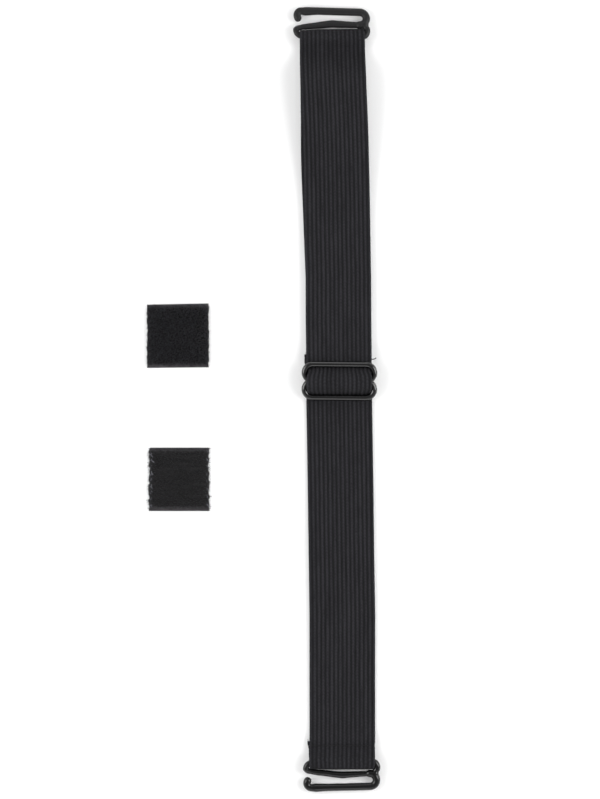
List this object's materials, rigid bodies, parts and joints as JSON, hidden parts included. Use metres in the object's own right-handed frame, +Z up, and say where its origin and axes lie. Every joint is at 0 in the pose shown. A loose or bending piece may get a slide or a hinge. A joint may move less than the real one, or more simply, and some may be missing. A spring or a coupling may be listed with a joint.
{
  "type": "adjustable elastic strap set",
  "caption": "Adjustable ribbed elastic strap with a slider, a moulded hook at each end, and a loose pair of touch fastener squares.",
  "frame": {"origin": "on the table, under the middle of the slider's centre bar", "axes": "+Y along the strap from the lower hook to the slider, +X to its right with the slider's face up, +Z up from the table"},
  "size_m": [0.0885, 0.3018, 0.0076],
  "materials": {
    "elastic": "black ribbed knitted elastic, matt",
    "rubber_thread": "natural rubber thread inside the ribs",
    "sewing_thread": "black polyester sewing thread",
    "nylon_coat": "glossy black nylon coat",
    "cast_metal": "zinc alloy casting under the coat",
    "backing": "black woven nylon tape",
    "pile": "black brushed nylon loops",
    "hooks": "black nylon monofilament hooks"
  },
  "bodies": {
    "lower_end": {"lower_loop": "elastic", "lower_loop_threads": "rubber_thread", "lower_stitches": "sewing_thread"},
    "lower_hook": {"lower_hook_coat": "nylon_coat", "lower_hook_core": "cast_metal"},
    "lower_band": {"lower_run": "elastic", "lower_run_threads": "rubber_thread"},
    "slider": {"slider_coat": "nylon_coat", "slider_core": "cast_metal", "slider_crossing": "elastic", "slider_crossing_threads": "rubber_thread", "slider_tail": "elastic", "slider_tail_threads": "rubber_thread", "slider_stitches": "sewing_thread"},
    "upper_band": {"back_run": "elastic", "back_run_threads": "rubber_thread", "front_run": "elastic", "front_run_threads": "rubber_thread"},
    "upper_end": {"upper_loop": "elastic", "upper_loop_threads": "rubber_thread"},
    "upper_hook": {"upper_hook_coat": "nylon_coat", "upper_hook_core": "cast_metal"},
    "pile_square": {"pile_square_backing": "backing", "pile_square_pile": "pile"},
    "hook_square": {"hook_square_backing": "backing", "hook_square_hooks": "hooks"}
  },
  "joints": [
    {"name": "lower_hook_swing", "type": "hinge", "parent": "lower_end", "child": "lower_hook", "pos_m": [-0.00025, -0.14645, 0.0028], "axis": [-0.9999, -0.0162, 0], "range_deg": [-85, 140]},
    {"name": "lower_stretch", "type": "slide", "parent": "lower_end", "child": "lower_band", "axis": [0, 1, 0], "range_m": [0, 0.1], "stiffness_N_per_m": 85, "deforming": ["lower_run", "lower_run_threads"]},
    {"name": "slider_slide", "type": "slide", "parent": "lower_band", "child": "slider", "axis": [0, 1, 0], "range_m": [-0.116, 0.196], "deforming": ["lower_run", "lower_run_threads", "back_run", "back_run_threads", "front_run", "front_run_threads"]},
    {"name": "upper_follow", "type": "slide", "parent": "slider", "child": "upper_band", "axis": [-0.0152, 0.9999, 0], "range_m": [-0.0985, 0.0585], "deforming": ["back_run", "back_run_threads", "front_run", "front_run_threads"]},
    {"name": "upper_stretch", "type": "slide", "parent": "upper_band", "child": "upper_end", "axis": [-0.0152, 0.9999, 0], "range_m": [0, 0.046], "deforming": ["back_run", "back_run_threads", "front_run", "front_run_threads"]},
    {"name": "upper_hook_swing", "type": "hinge", "parent": "upper_end", "child": "upper_hook", "pos_m": [-0.00201, 0.13243, 0.0028], "axis": [0.9997, -0.0244, 0], "range_deg": [-85, 140]},
    {"name": "pile_square_lift", "type": "slide", "parent": "lower_end", "child": "pile_square", "axis": [0, 0, 1], "range_m": [0, 0.03]},
    {"name": "hook_square_lift", "type": "slide", "parent": "lower_end", "child": "hook_square", "axis": [0, 0, 1], "range_m": [0, 0.03]}
  ],
  "couplings": [
    {"joint": "upper_follow", "follows": "slider_slide", "ratio": -0.5},
    {"joint": "upper_stretch", "follows": "lower_stretch", "ratio": 0.45}
  ]
}
